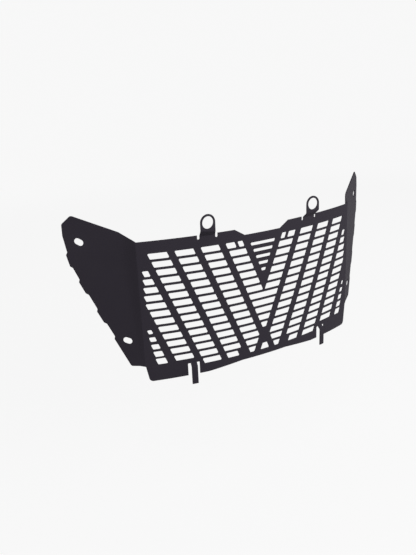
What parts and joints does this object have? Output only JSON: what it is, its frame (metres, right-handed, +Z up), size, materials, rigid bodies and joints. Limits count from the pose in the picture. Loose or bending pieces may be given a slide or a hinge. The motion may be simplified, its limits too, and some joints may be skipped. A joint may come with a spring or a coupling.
{
  "type": "motorcycle radiator guard",
  "caption": "Curved sheet-metal guard that bolts in front of a motorcycle radiator, with a V pattern of slots, folded-back wings and ring tabs.",
  "frame": {"origin": "midway between the centres of the two ring holes, on the rear face of their tabs, where they seat on the radiator's bolts", "axes": "+X to the right seen from the front, +Y to the back towards the radiator, +Z up"},
  "size_m": [0.3974, 0.0726, 0.1934],
  "materials": {
    "powder_coat": "satin black powder coat with a fine texture"
  },
  "bodies": {
    "root": {"radiator_guard": "powder_coat"}
  },
  "joints": []
}
